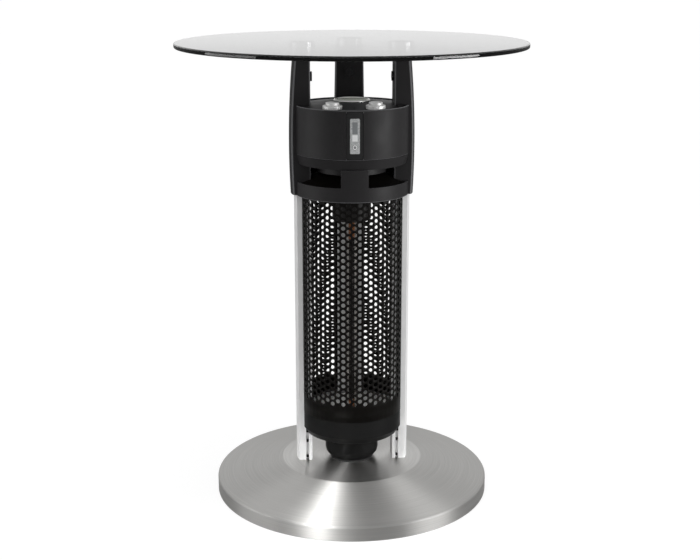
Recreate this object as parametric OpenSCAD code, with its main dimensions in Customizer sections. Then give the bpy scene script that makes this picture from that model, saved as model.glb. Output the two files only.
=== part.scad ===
// Bistro-table patio heater: a round glass top on three arms, a control and speaker head,
// a perforated guard round an upright carbon lamp, three aluminium posts and a heavy base.
// Millimetres. Origin on the floor under the middle of the base, +Z up, front towards -Y.

/* [Table top] */
// Height of the table top above the floor
table_h = 808; // [800:1:840]
// Diameter of the glass
glass_d = 600; // [560:5:640]
// Thickness of the glass
glass_t = 8; // [6:1:10]
// Diameter of the metal discs bonded under the glass
disc_d = 44; // [36:1:46]
// Height of those discs
disc_h = 9.5; // [7:0.5:12]

/* [Head] */
// Outer radius of the drum
drum_r = 99.4; // [97:0.2:102]
// Height of the drum's top rim
drum_top = 703; // [700:1:708]
// Height of the seam between drum and skirt
seam_z = 620; // [618:1:622]
// Height of the skirt's lower edge, the top of the vents
skirt_z = 603; // [602:1:606]
// Height of the collar's upper edge, the bottom of the vents
collar_top = 572.5; // [570:0.5:576]
// Height of the collar's lower edge
collar_z = 548; // [546:1:549]
// Wall thickness of the head's mouldings
wall = 3; // [2.5:0.1:3.2]
// Half the width of the tab at the front of the collar
tab_half = 23.1; // [18:0.1:26]
// Distance of each knob from the middle plane
knob_x = 36.1; // [34:0.1:38]
// Distance of the knobs in front of the axis
knob_y = 70; // [66:0.5:70]
// Diameter of a knob's skirt
knob_d = 32.8; // [28:0.1:33]
// Diameter of a knob's grip
grip_d = 23; // [18:0.5:25]

/* [Window] */
// Width of the window lens
lens_w = 16.3; // [14:0.1:18]
// Height of the window lens
lens_h = 58.5; // [54:0.5:60]
// Height of the middle of the lens above the floor
lens_z = 660.2; // [658:0.1:662]
// Diameter of the power button
button_d = 8.2; // [7:0.1:9]
// Height of the power button's axis above the floor
button_z = 641.8; // [641:0.1:643]
// Room behind the power button, in which it travels
button_travel = 1; // [0.5:0.1:1.2]

/* [Column] */
// Outer radius of the perforated guard
mesh_r = 90.2; // [89:0.1:91]
// Thickness of the guard's sheet
mesh_t = 0.8; // [0.6:0.1:1]
// Innermost radius of a post
post_in = 73; // [72.5:0.1:74]
// Outermost radius of a post
post_out = 101; // [100:0.1:102]
// Half the width of a post
post_half = 22; // [21:0.1:22.5]
// Outer radius of the lower cup
cup_r = 89.9; // [89:0.1:90.5]
// Height of the lower cup's rim
cup_top = 152; // [148:1:156]
// Height of the lower cup's underside
cup_z = 109; // [106:1:110]

/* [Base] */
// Outer radius of the base
base_r = 246; // [240:1:250]
// Height of the base's flat middle
plateau_z = 55.8; // [54:0.2:57]
// Radius of the base's flat middle
plateau_r = 127; // [120:1:135]
// Height of the rim's shoulder
rim_z = 26.2; // [24:0.2:28]

/* [Hidden] */

$fn = 96;
eps = 0.5;
gap = 0.3;            // clearance between neighbouring mouldings
right_az = 0;
back_az = 90;
left_az = 180;
arm_azimuths = [right_az, back_az, left_az];

glass_z = table_h - glass_t;
disc_r_pos = 84;      // distance of a disc from the axis
stud_r = 5;
stud_bottom = 735;
lock_z = 749.5;       // height of the locking screws

arm_top = glass_z - disc_h;
arm_bottom = 548.5;
arm_in = 71.5;
arm_half = 25.8;
arm_half_top = 24.3;
arm_bulge = 108.7;    // outermost radius of an arm
arm_bulge_z = 632;
arm_bow_r = 1631;     // radius of the arm's bowed outer line
arm_plan_r = 75;      // radius of its outer face seen from above
socket_depth = 40;    // how far a post goes into its arm

post_arc_r = 50.9;
slot_in = 79;
slot_out = 84;
slot_depth = 7;
bolt_pos = 79.75;     // distance of a base bolt from the axis
bolt_r = 4;
bolt_top = 100;
top_screw_z = 568;
lead_r = 3.3;
lead_pos = 91.5;      // distance of the supply lead from the axis inside the back post
lead_in_z = 131;
lead_out_z = 612;
lead_drop = 40;       // distance of the lead from the axis where it goes down the cup
gland_az = 135;
gland_z = 84;

plate_edge_z = 700.4; // top of the head's top plate at its edge
plate_mid_z = 708.6;  // and at its central hole
plate_t = 2.5;
plate_hole_r = 28.5;
seat_z = 701.9;       // floor of a knob's seat
knob_z = 702.4;
knob_skirt_h = 6;
knob_h = 11;

window_r = 98.4;      // outer radius of the window's curved pieces
bezel_w = 27.6;
bezel_h = 77.6;
board_y = 91.4;       // distance of the control board's face from the middle plane
switch_t = 1.5;       // height of the small switch behind the power button

lamp_r = 10;
holder_r = 34;
holder_z = 500;
lower_holder_top = 150;

base_t = 1.2;
shoulder_r = 3;
feet_r = 222;         // distance of a foot from the axis
bottom_z = 3;
bottom_t = 1.5;
ballast_r = 160;
ballast_t = 8;
ballast_z = bottom_z + bottom_t + 0.1;

// ---------------------------------------------------------------- helpers
// Points of an arc from angle a to angle b
function arc(cx, cy, r, a, b, n) =
    [for (i = [0:n]) [cx + r * cos(a + (b - a) * i / n), cy + r * sin(a + (b - a) * i / n)]];

// Tube between two heights
module tube(r_out, r_in, z0, z1) {
    translate([0, 0, z0]) difference() {
        cylinder(r = r_out, h = z1 - z0);
        translate([0, 0, -eps]) cylinder(r = r_in, h = z1 - z0 + 2 * eps);
    }
}

// Disc between two heights
module disc(r, z0, z1) {
    translate([0, 0, z0]) cylinder(r = r, h = z1 - z0);
}

// Cylinder along the radius, from distance a to distance b, at height z
module spoke(r, a, b, z) {
    translate([a, 0, z]) rotate([0, 90, 0]) cylinder(r = r, h = b - a);
}

// Places a child at each arm and post
module at_arms() {
    for (a = arm_azimuths) rotate([0, 0, a]) children();
}

// Space that the three arms take out of a piece of the head
module arm_notches(z0, z1) {
    at_arms() translate([arm_in - gap, -arm_half - gap, z0])
        cube([60, 2 * (arm_half + gap), z1 - z0]);
}

// Space that the three posts take out of a piece of the column
module post_notches(z0, z1) {
    at_arms() translate([post_in - gap, -post_half - gap, z0])
        cube([60, 2 * (post_half + gap), z1 - z0]);
}

// Upright rectangle with round corners, in the X-Z plane, pushed through towards -Y
module rounded_window(w, h, r, zc) {
    translate([0, -80, zc]) rotate([90, 0, 0]) linear_extrude(40) union() {
        square([w - 2 * r, h], center = true);
        square([w, h - 2 * r], center = true);
        for (x = [-1, 1], z = [-1, 1])
            translate([x * (w / 2 - r), z * (h / 2 - r)]) circle(r = r);
    }
}

// ---------------------------------------------------------------- table top
module glass_top() {
    arris = 0.8;
    r = glass_d / 2;
    color([0.06, 0.065, 0.07, 0.85])
    translate([0, 0, glass_z]) rotate_extrude($fn = 180)
        polygon([[0, 0], [r - arris, 0], [r, arris], [r, glass_t - arris],
            [r - arris, glass_t], [0, glass_t]]);
}

module glass_discs() {
    color("silver") at_arms() translate([disc_r_pos, 0, 0]) {
        disc(disc_d / 2, arm_top, glass_z);
        disc(stud_r, stud_bottom, arm_top + 1);
    }
}

module disc_lock_screws() {
    head_r = 8.3;
    head_h = 3.4;
    color("black") at_arms() difference() {
        union() {
            spoke(head_r, arm_in - head_h, arm_in, lock_z);
            spoke(3, arm_in - 1, disc_r_pos - stud_r - 0.2, lock_z);
        }
        translate([arm_in - head_h - eps, 0, lock_z]) rotate([0, 90, 0])
            cylinder(r = 3.5, h = 2.5 + eps, $fn = 6);
    }
}

// ---------------------------------------------------------------- arms
// Outline of a post's section, grown by g
module post_outline(g = 0) {
    intersection() {
        translate([post_in - g, -post_half - g])
            square([post_out - post_in + 2 * g, 2 * (post_half + g)]);
        translate([post_out - post_arc_r, 0]) circle(r = post_arc_r + g, $fn = 180);
    }
}

// One arm, pointing along +X: bowed outside, straight inside, with the post's socket below
module arm() {
    height = arm_top - arm_bottom;
    difference() {
        intersection() {
            translate([arm_bulge - arm_plan_r, 0, 0]) rotate_extrude($fn = 180) intersection() {
                translate([0, arm_bottom]) square([arm_plan_r + 1, height]);
                translate([arm_plan_r - arm_bow_r, arm_bulge_z]) circle(r = arm_bow_r, $fn = 1440);
            }
            translate([arm_in, -arm_half, arm_bottom]) cube([60, 2 * arm_half, height]);
            rotate([90, 0, 90]) translate([0, 0, arm_in - 5]) linear_extrude(60)
                polygon([[-arm_half, arm_bottom], [arm_half, arm_bottom], [arm_half, drum_top],
                    [arm_half_top, arm_top], [-arm_half_top, arm_top], [-arm_half, drum_top]]);
        }
        translate([0, 0, arm_bottom - eps]) linear_extrude(socket_depth + eps) post_outline(gap);
        translate([disc_r_pos, 0, 0]) disc(stud_r + 0.2, stud_bottom - 2, arm_top + eps);
        spoke(3.2, arm_in - eps, disc_r_pos, lock_z);
        spoke(2.7, arm_in - eps, post_in + 1, top_screw_z);
        arm_seam();
        children();
    }
}

// Fine groove where the seam of the head runs round an arm
module arm_seam() {
    groove = 0.7;
    difference() {
        translate([arm_in + 10, -arm_half - 1, seam_z - groove / 2])
            cube([50, 2 * arm_half + 2, groove]);
        translate([arm_in + 5, -arm_half + groove, seam_z - 2])
            cube([arm_bulge - arm_in - 6.2, 2 * (arm_half - groove), 4]);
    }
}

module arm_left() {
    color([0.11, 0.11, 0.12]) rotate([0, 0, left_az]) arm();
}

module arm_right() {
    color([0.11, 0.11, 0.12]) rotate([0, 0, right_az]) arm();
}

// The back arm also carries the supply lead up into the head
module arm_back() {
    channel_r = lead_r + 0.8;
    color([0.11, 0.11, 0.12]) rotate([0, 0, back_az]) arm() {
        translate([lead_pos, 0, 0])
            disc(channel_r, arm_bottom + socket_depth - 1, lead_out_z + channel_r);
        spoke(channel_r, arm_in - eps, lead_pos, lead_out_z);
    }
}

// ---------------------------------------------------------------- head
module drum_shell() {
    flange_r = 60;
    round_r = 1.2;
    color([0.12, 0.12, 0.13]) difference() {
        rotate_extrude() polygon(concat(
            [[flange_r, seam_z], [drum_r - 0.6, seam_z], [drum_r, seam_z + 0.6]],
            arc(drum_r - round_r, drum_top - round_r, round_r, 0, 90, 4),
            [[drum_r - wall, drum_top], [drum_r - wall, seam_z + wall], [flange_r, seam_z + wall]]));
        arm_notches(seam_z - eps, drum_top + eps);
        rounded_window(bezel_w + 2 * gap, bezel_h + 2 * gap, 4, lens_z);
    }
}

module top_plate() {
    edge_r = drum_r - wall - 0.2;
    color([0.10, 0.10, 0.11]) difference() {
        union() {
            rotate_extrude() polygon([[plate_hole_r, plate_mid_z - plate_t],
                [edge_r, plate_edge_z - plate_t], [edge_r, plate_edge_z], [plate_hole_r, plate_mid_z]]);
            intersection() {
                disc(edge_r, plate_edge_z - 5, drum_top);
                for (s = [-1, 1]) translate([s * knob_x, -knob_y, 0])
                    disc(knob_d / 2 + 1, seat_z - plate_t, seat_z);
            }
        }
        for (s = [-1, 1]) translate([s * knob_x, -knob_y, 0]) {
            disc(knob_d / 2 + 0.6, seat_z, plate_mid_z);
            disc(5.2, seat_z - 6, seat_z + 1);
        }
        arm_notches(plate_edge_z - 10, plate_mid_z + 5);
    }
}

module speaker_ring() {
    color("silver") rotate_extrude() polygon([[26.5, 708.8], [31.7, 708.8], [31.7, 709.6],
        [30.6, 710.8], [29.2, 711.2], [27.4, 710.9], [26.5, 710]]);
}

module speaker_grille() {
    color([0.55, 0.56, 0.53]) intersection() {
        disc(26.2, 705, 712);
        difference() {
            translate([0, 0, 710.2 - 180]) sphere(r = 180, $fn = 180);
            translate([0, 0, 709.2 - 180]) sphere(r = 180, $fn = 180);
        }
    }
}

module speaker_basket() {
    color([0.2, 0.2, 0.2]) rotate_extrude() polygon([[25, 702.5], [36, 702.5], [36, 704.4],
        [23, 704.4], [21.5, 702.5], [13, 684], [13, 682], [15, 682]]);
}

module speaker_cone() {
    color([0.15, 0.15, 0.16]) rotate_extrude() polygon([[20.8, 702.8], [20, 702.8], [8, 692],
        [0, 692], [0, 691], [8.4, 691]]);
}

module speaker_magnet() {
    color([0.25, 0.25, 0.26]) disc(22, 664, 681.8);
}

// A two-tier knob standing at the left (side -1) or right (side +1), with a pointer groove
module knob(side) {
    translate([side * knob_x, -knob_y, knob_z]) difference() {
        rotate_extrude() polygon([[0, 0], [knob_d / 2, 0], [knob_d / 2, knob_skirt_h - 0.8],
            [knob_d / 2 - 0.8, knob_skirt_h], [grip_d / 2, knob_skirt_h],
            [grip_d / 2, knob_h - 0.7], [grip_d / 2 - 0.7, knob_h], [0, knob_h]]);
        translate([0, 0, -eps]) cylinder(r = 3.02, h = 8.8 + eps);
        translate([-0.6, -grip_d / 2 - 1, knob_h - 0.8]) cube([1.2, grip_d / 2 - 2, 2]);
    }
}

// Spindle that a knob sits on
module spindle(side) {
    translate([side * knob_x, -knob_y, 0]) disc(3, 686.3, knob_z + 8.4);
}

// Switch or control under the top plate, with its threaded neck through the plate
module rotary_body(side, r) {
    body_top = plate_edge_z - plate_t - 0.3;
    translate([side * knob_x, -knob_y, 0]) difference() {
        union() {
            disc(r, 677, body_top);
            disc(4.9, body_top - 0.5, 702);
        }
        disc(3.05, 686, 703);
    }
}

module heat_knob() {
    color("silver") knob(-1);
}

module heat_shaft() {
    color("gray") spindle(-1);
}

module heat_switch() {
    color([0.16, 0.15, 0.14]) rotary_body(-1, 12);
}

module volume_knob() {
    color("silver") knob(1);
}

module volume_shaft() {
    color("gray") spindle(1);
}

module volume_control() {
    color([0.3, 0.32, 0.3]) rotary_body(1, 10);
}

// ---------------------------------------------------------------- window and controls
module window_bezel() {
    color([0.07, 0.07, 0.08]) difference() {
        intersection() {
            tube(window_r, drum_r - wall, lens_z - bezel_h, lens_z + bezel_h);
            rounded_window(bezel_w, bezel_h, 3.8, lens_z);
        }
        rounded_window(lens_w + 0.4, lens_h + 0.4, 2.4, lens_z);
    }
}

module window_lens() {
    color([0.75, 0.77, 0.78, 0.6]) difference() {
        intersection() {
            tube(window_r + 0.2, drum_r - wall + 0.2, lens_z - bezel_h, lens_z + bezel_h);
            rounded_window(lens_w, lens_h, 2.2, lens_z);
        }
        translate([0, -80, button_z]) rotate([90, 0, 0]) cylinder(r = button_d / 2 + 0.35, h = 40);
    }
}

module power_button() {
    proud = 0.4;
    head_h = 4;
    stem_h = window_r + proud - head_h - board_y - switch_t - button_travel - gap;
    color([0.9, 0.9, 0.9]) translate([0, -window_r - proud, button_z]) rotate([-90, 0, 0]) union() {
        cylinder(r = button_d / 2, h = head_h);
        translate([0, 0, head_h - 0.5]) cylinder(r = 1.5, h = stem_h + 0.5);
    }
}

module button_switch() {
    color([0.15, 0.15, 0.15]) translate([-3, -board_y - switch_t, button_z - 3])
        cube([6, switch_t, 6]);
}

module status_light() {
    color("white") translate([-4.8, -board_y - 3.4, 651.9]) cube([9.6, 3.4, 10.6]);
}

module remote_receiver() {
    color([0.5, 0.5, 0.52]) translate([0, -board_y, 677]) rotate([90, 0, 0]) linear_extrude(3) union() {
        translate([-4.5, 0]) square([9, 4.2]);
        translate([0, 4.2]) intersection() {
            circle(r = 4.5);
            translate([-5, 0]) square([10, 5]);
        }
    }
}

module control_board() {
    color([0.1, 0.3, 0.16]) translate([-12.5, -board_y, 624]) cube([25, 1.6, 72]);
}

module power_supply() {
    color([0.3, 0.3, 0.31]) translate([-38, -20, skirt_z + 3]) cube([76, 44, 24]);
}

// ---------------------------------------------------------------- skirt, vents and shield
module drum_skirt() {
    low_r = 95;
    color([0.12, 0.12, 0.13]) difference() {
        rotate_extrude() polygon([[12, skirt_z], [low_r, skirt_z], [drum_r, seam_z - 0.4],
            [drum_r - wall, seam_z - 0.4], [low_r - wall + 0.3, skirt_z + 3], [12, skirt_z + 3]]);
        arm_notches(skirt_z - eps, seam_z + eps);
    }
}

module inner_housing() {
    r = 60.5;
    t = 2;
    top = skirt_z - 0.1;
    bottom = 587.5;
    color([0.14, 0.14, 0.15]) difference() {
        disc(r, bottom, top);
        disc(r - t, bottom + t, top + eps);
        disc(7, bottom - eps, top);
    }
}

// Collar with a tab between the two front vents and a plain wall round the back
module vent_collar() {
    flange_in = 64;
    color([0.12, 0.12, 0.13]) difference() {
        union() {
            rotate_extrude() polygon([[flange_in, collar_z], [drum_r - 1, collar_z],
                [drum_r, collar_z + 1], [drum_r, collar_top - 0.6], [drum_r - 0.6, collar_top],
                [drum_r - wall, collar_top], [drum_r - wall, collar_z + wall],
                [flange_in, collar_z + wall]]);
            intersection() {
                tube(drum_r, drum_r - wall, collar_top - 2, skirt_z - gap);
                union() {
                    translate([-tab_half, -120, collar_top - 3]) cube([2 * tab_half, 60, 60]);
                    translate([-120, 0, collar_top - 3]) cube([240, 120, 60]);
                }
            }
        }
        arm_notches(collar_z - eps, skirt_z);
    }
}

module heat_shield() {
    rim_r = drum_r - wall - 0.4;
    cone_r = 56;
    rise = 14;
    t = 1;
    z = collar_top - 2.5;
    color([0.32, 0.32, 0.33]) difference() {
        rotate_extrude() polygon([[4, z + rise], [cone_r, z + rise], [rim_r - 6, z], [rim_r, z],
            [rim_r, z + t], [rim_r - 6, z + t], [cone_r, z + rise + t], [4, z + rise + t]]);
        arm_notches(z - 5, z + rise + 5);
    }
}

// ---------------------------------------------------------------- lamp
module upper_lamp_holder() {
    top = 552;
    neck_top = collar_top - 2.5 + 14 - 0.1;
    color([0.09, 0.09, 0.09]) difference() {
        union() {
            rotate_extrude() polygon([[0, holder_z], [holder_r - 3, holder_z], [holder_r, holder_z + 3],
                [holder_r, top - 2], [holder_r - 2, top], [0, top]]);
            disc(18, top - 1, neck_top);
        }
        disc(holder_r - 3, holder_z + 3, top - 3);
        disc(13.4, holder_z - eps, holder_z + 4);
        disc(4, top - 4, neck_top + eps);
    }
}

module upper_end_cap() {
    color("ivory") difference() {
        disc(13, holder_z + 0.2, 540);
        disc(lamp_r + 0.2, holder_z - eps, 522);
        disc(2, 520, 541);
    }
}

module lower_end_cap() {
    color("ivory") difference() {
        disc(13, 116, 148);
        disc(lamp_r + 0.2, 128, 149);
        disc(2, 115, 130);
    }
}

module quartz_tube() {
    top = 521;
    bottom = 129;
    color([0.75, 0.75, 0.78, 0.35]) difference() {
        disc(lamp_r, bottom, top);
        disc(lamp_r - 1.3, bottom + 1.5, top - 1.5);
    }
}

module lamp_clips() {
    color([0.72, 0.45, 0.25]) {
        disc(5.5, 464.5, 499.5);
        disc(5.5, 140, 165.5);
    }
}

module carbon_element() {
    color([0.1, 0.09, 0.09]) translate([-5, -1, 165.6]) cube([10, 2, 464.4 - 165.6]);
}

module lower_lamp_holder() {
    r = 30;
    t = 3;
    color([0.09, 0.09, 0.09]) difference() {
        disc(r, cup_z + 3.1, lower_holder_top);
        disc(r - t, cup_z + 6, lower_holder_top - t);
        disc(13.4, lower_holder_top - t - 1, lower_holder_top + 1);
    }
}

// Polished plate that closes the cup under the guard
module lower_reflector() {
    clear = 2.4;
    z = lower_holder_top + 0.1;
    color([0.8, 0.8, 0.81]) difference() {
        disc(cup_r - 3.4, z, z + 0.8);
        disc(lamp_r + 0.4, z - eps, z + 1 + eps);
        at_arms() translate([post_in - gap - clear, -post_half - gap - clear, z - eps])
            cube([60, 2 * (post_half + gap + clear), 2]);
    }
}

// ---------------------------------------------------------------- guard
// Guard panel between the posts at azimuths a and b, with its edges folded into their slots
module mesh_panel(a, b) {
    z0 = cup_top + 0.1;
    h = collar_z - 0.2 - z0;
    side = post_half + 0.2;
    fold_in = slot_out - 1.1;
    fold_out = sqrt(pow(mesh_r - mesh_t / 2, 2) - pow(side, 2));
    hem = 6;
    translate([0, 0, z0]) linear_extrude(h) union() {
        intersection() {
            difference() {
                circle(r = mesh_r, $fn = 180);
                circle(r = mesh_r - mesh_t, $fn = 180);
            }
            rotate(a) translate([-mesh_r - 5, side]) square([2 * mesh_r + 10, mesh_r]);
            rotate(b) translate([-mesh_r - 5, -side - mesh_r]) square([2 * mesh_r + 10, mesh_r]);
        }
        for (end = [[a, 0], [b, 1]]) rotate(end[0]) mirror([0, end[1]]) {
            translate([fold_in, side]) square([fold_out - fold_in, mesh_t]);
            translate([fold_in, side - hem]) square([mesh_t, hem + mesh_t]);
        }
    }
}

module mesh_front() {
    color([0.13, 0.11, 0.09]) mesh_panel(180, 360);
}

module mesh_back_left() {
    color([0.13, 0.11, 0.09]) mesh_panel(90, 180);
}

module mesh_back_right() {
    color([0.13, 0.11, 0.09]) mesh_panel(0, 90);
}

// ---------------------------------------------------------------- posts
// One extruded post, pointing along +X, with a screw slot down each side
module post() {
    t = 2.5;
    chamber = slot_out + t;
    top = arm_bottom + socket_depth - 1;
    difference() {
        translate([0, 0, plateau_z]) linear_extrude(top - plateau_z) difference() {
            post_outline();
            intersection() {
                translate([chamber, -post_half + t]) square([30, 2 * (post_half - t)]);
                translate([post_out - post_arc_r, 0]) circle(r = post_arc_r - t, $fn = 180);
            }
            for (m = [0, 1]) mirror([0, m]) translate([slot_in, post_half - slot_depth])
                square([slot_out - slot_in, slot_depth + eps]);
        }
        children();
    }
}

module post_left() {
    color([0.85, 0.85, 0.86]) rotate([0, 0, left_az]) post() post_bores();
}

module post_right() {
    color([0.85, 0.85, 0.86]) rotate([0, 0, right_az]) post() post_bores();
}

// The back post also lets the supply lead in at the cup
module post_back() {
    color([0.85, 0.85, 0.86]) rotate([0, 0, back_az]) post() {
        post_bores();
        spoke(lead_r + 0.7, post_in - eps, slot_out + 4, lead_in_z);
    }
}

// Bolt hole from below and screw hole near the top
module post_bores() {
    translate([bolt_pos, 0, 0]) disc(bolt_r + 0.05, plateau_z - eps, bolt_top + 5);
    spoke(2.55, post_in - eps, slot_in + 2, top_screw_z);
}

module post_top_screws() {
    color([0.2, 0.2, 0.2]) at_arms() union() {
        spoke(4.5, arm_in - 3, arm_in, top_screw_z);
        spoke(2.5, arm_in - 0.5, slot_in, top_screw_z);
    }
}

module slot_screws() {
    color([0.15, 0.15, 0.15]) at_arms() for (s = [-1, 1], z = [62, 92])
        translate([(slot_in + slot_out) / 2, s * (post_half - 3.5), z]) rotate([90, 0, 0])
            cylinder(r = 2.2, h = 5, center = true);
}

// ---------------------------------------------------------------- lower cup and socket
module lower_cup() {
    floor_t = 3;
    rim_t = 3;
    chamfer_z = 121;
    low_r = 83;
    color([0.11, 0.11, 0.11]) difference() {
        union() {
            rotate_extrude() polygon([[0, cup_z], [low_r - 2, cup_z], [low_r, cup_z + 1],
                [cup_r, chamfer_z], [cup_r, cup_top], [cup_r - rim_t, cup_top],
                [cup_r - rim_t, chamfer_z + 1], [low_r - rim_t, cup_z + floor_t],
                [0, cup_z + floor_t]]);
            intersection() {
                disc(cup_r - 1, cup_z + 1, cup_top);
                at_arms() translate([post_in - gap - 2, -post_half - gap - 2, cup_z + 1])
                    cube([40, 2 * (post_half + gap + 2), cup_top - cup_z - 1]);
                disc(low_r + 4, cup_z + 1, cup_top);
            }
        }
        post_notches(cup_z - eps, cup_top + eps);
        disc(20, cup_z - eps, cup_z + floor_t + eps);
        rotate([0, 0, back_az]) translate([lead_drop, 0, 0]) disc(lead_r + 1, cup_z - 1, cup_z + 5);
        rotate([0, 0, back_az]) spoke(lead_r + 0.7, post_in - 4, post_in + 1, lead_in_z);
    }
}

module socket() {
    t = 3;
    top = cup_z - 0.1;
    color([0.10, 0.10, 0.10]) difference() {
        rotate_extrude() polygon([[30, 60], [40.5, 60], [46.5, 68], [48, 75], [48, top],
            [48 - t, top], [48 - t, 76], [43.5, 69.5], [38.5, 60 + t], [30, 60 + t]]);
        rotate([0, 0, gland_az]) spoke(6.2, 40, 60, gland_z);
    }
}

module socket_gasket() {
    color([0.05, 0.05, 0.05]) tube(38.5, 31, plateau_z, 59.9);
}

module tip_over_switch() {
    color([0.2, 0.2, 0.22]) translate([-12, -12, 63.1]) cube([24, 24, 22]);
}

module cable_gland() {
    color([0.12, 0.12, 0.12]) rotate([0, 0, gland_az]) difference() {
        union() {
            spoke(6, 36, 58, gland_z);
            translate([48.2, 0, gland_z]) rotate([0, 90, 0]) cylinder(r = 9.5, h = 5, $fn = 6);
            spoke(8, 53, 60, gland_z);
        }
        spoke(lead_r + 0.2, 35, 61, gland_z);
    }
}

// Internal lead from the gland, through cup and back post, to the power supply
module supply_lead() {
    start_r = 31;
    gland_end = [start_r * cos(gland_az), start_r * sin(gland_az), gland_z];
    route = [gland_end, [-8, 38, 96], [0, lead_drop, 104], [0, lead_drop, lead_in_z],
        [0, lead_pos, lead_in_z], [0, lead_pos, lead_out_z], [0, 24.3, lead_out_z]];
    color([0.05, 0.05, 0.05]) union() {
        for (i = [0:len(route) - 2]) {
            d = route[i + 1] - route[i];
            translate(route[i]) rotate([0, acos(d[2] / norm(d)), atan2(d[1], d[0])])
                cylinder(r = lead_r, h = norm(d), $fn = 10);
        }
        for (i = [1:len(route) - 2]) translate(route[i]) sphere(r = lead_r, $fn = 10);
    }
}

// ---------------------------------------------------------------- base
// Outline of the spun cover, drawn in by d
module base_outline(d = 0) {
    slope = atan2(plateau_z - rim_z, base_r - plateau_r);
    r = base_r - d;
    s = shoulder_r - min(d, shoulder_r - 0.5);
    polygon(concat([[0, d > 0 ? -5 : 2], [r, d > 0 ? -5 : 2]],
        arc(r - s, rim_z - d - s * 0.4, s, 0, 90 - slope, 5),
        [[plateau_r, plateau_z - d], [0, plateau_z - d]]));
}

module base_cover() {
    color([0.72, 0.71, 0.70]) difference() {
        rotate_extrude($fn = 180) base_outline();
        rotate_extrude($fn = 180) base_outline(base_t);
        at_arms() translate([bolt_pos, 0, 0]) disc(bolt_r + 0.5, plateau_z - 5, plateau_z + 1);
    }
}

module mounting_plate() {
    color([0.3, 0.3, 0.32]) difference() {
        disc(108, plateau_z - base_t - 4.2, plateau_z - base_t - 0.1);
        at_arms() translate([bolt_pos, 0, 0]) disc(bolt_r + 0.3, 40, 60);
    }
}

module ballast() {
    color([0.22, 0.22, 0.22]) difference() {
        tube(ballast_r, 55, ballast_z, ballast_z + ballast_t);
        at_arms() translate([bolt_pos, 0, 0]) {
            disc(bolt_r + 0.4, 4, 18);
            disc(7.3, 4, 11);
        }
    }
}

module spacer_tubes() {
    color("gray") at_arms() translate([bolt_pos, 0, 0])
        tube(8, bolt_r + 0.4, ballast_z + ballast_t + 0.1, plateau_z - base_t - 4.3);
}

module base_bolts() {
    color("gray") at_arms() translate([bolt_pos, 0, 0]) {
        disc(6.8, 5.2, 10.9);
        disc(bolt_r, 10.5, bolt_top);
    }
}

module bottom_plate() {
    color([0.2, 0.2, 0.2]) difference() {
        disc(base_r - base_t - 0.3, bottom_z, bottom_z + bottom_t);
        for (a = [0:60:300]) rotate([0, 0, a]) translate([feet_r, 0, 0]) disc(4, 2, 6);
    }
}

module rubber_feet() {
    color([0.06, 0.06, 0.06]) for (a = [0:60:300]) rotate([0, 0, a]) translate([feet_r, 0, 0]) {
        disc(11, 0, 3);
        disc(3.9, 2, 4.9);
    }
}

glass_top();
glass_discs();
disc_lock_screws();
arm_left();
arm_right();
arm_back();
drum_shell();
top_plate();
speaker_ring();
speaker_grille();
speaker_basket();
speaker_cone();
speaker_magnet();
heat_knob();
heat_shaft();
heat_switch();
volume_knob();
volume_shaft();
volume_control();
window_bezel();
window_lens();
power_button();
button_switch();
status_light();
remote_receiver();
control_board();
power_supply();
drum_skirt();
inner_housing();
vent_collar();
heat_shield();
upper_lamp_holder();
upper_end_cap();
lower_end_cap();
lamp_clips();
quartz_tube();
carbon_element();
lower_lamp_holder();
lower_reflector();
mesh_front();
mesh_back_left();
mesh_back_right();
post_left();
post_right();
post_back();
post_top_screws();
slot_screws();
lower_cup();
socket();
socket_gasket();
tip_over_switch();
cable_gland();
supply_lead();
base_cover();
mounting_plate();
ballast();
spacer_tubes();
base_bolts();
bottom_plate();
rubber_feet();
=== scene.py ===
import math

import bmesh
import bpy
from bpy.props import FloatProperty, FloatVectorProperty, IntProperty, PointerProperty
from mathutils import Matrix, Vector


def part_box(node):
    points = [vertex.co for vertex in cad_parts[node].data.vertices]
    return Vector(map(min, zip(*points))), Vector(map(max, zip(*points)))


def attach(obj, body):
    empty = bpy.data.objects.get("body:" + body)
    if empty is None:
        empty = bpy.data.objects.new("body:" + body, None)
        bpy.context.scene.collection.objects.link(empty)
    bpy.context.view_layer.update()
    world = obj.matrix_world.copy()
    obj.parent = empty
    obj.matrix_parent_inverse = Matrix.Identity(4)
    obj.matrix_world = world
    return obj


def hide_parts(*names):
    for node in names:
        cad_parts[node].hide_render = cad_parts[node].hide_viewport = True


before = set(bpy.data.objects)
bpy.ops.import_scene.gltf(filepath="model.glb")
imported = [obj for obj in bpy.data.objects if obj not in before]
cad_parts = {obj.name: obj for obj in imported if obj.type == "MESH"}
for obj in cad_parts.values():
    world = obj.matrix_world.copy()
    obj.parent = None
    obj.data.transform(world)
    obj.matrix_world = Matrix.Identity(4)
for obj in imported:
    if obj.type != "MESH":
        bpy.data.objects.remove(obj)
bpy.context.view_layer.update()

bl_info = {
    "name": "Heated bistro table",
    "version": (1, 0, 0),
    "blender": (4, 5, 0),
    "location": "3D View > Sidebar > Heated Table",
    "description": "Builds a round glass table with a carbon lamp heater in its column",
    "category": "Object",
}

MM = 0.001
ROUND = 0.5  # profile of a circular bevel
KEEP_MATERIAL = -1
# The faces it notes get a lighter tone in the moulded finish, a painted highlight along the rounded
# edges
EDGE_MARK = "edge"  # attribute of the faces of a rounded edge
Z_AXIS = (0.0, 0.0, 1.0)
ORIGIN = (0.0, 0.0, 0.0)
POST_TURNS = {"left": math.pi, "right": 0.0, "back": math.pi / 2}


def linear(code):
    """Linear colour of an sRGB hex value."""
    parts = [int(code[i : i + 2], 16) / 255 for i in (0, 2, 4)]
    return tuple(p / 12.92 if p <= 0.04045 else ((p + 0.055) / 1.055) ** 2.4 for p in parts)


def length(name, description, millimetres):
    """A length property whose default is in millimetres."""
    return FloatProperty(
        name=name, description=description, default=millimetres * MM, min=0.0, unit="LENGTH"
    )


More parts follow.
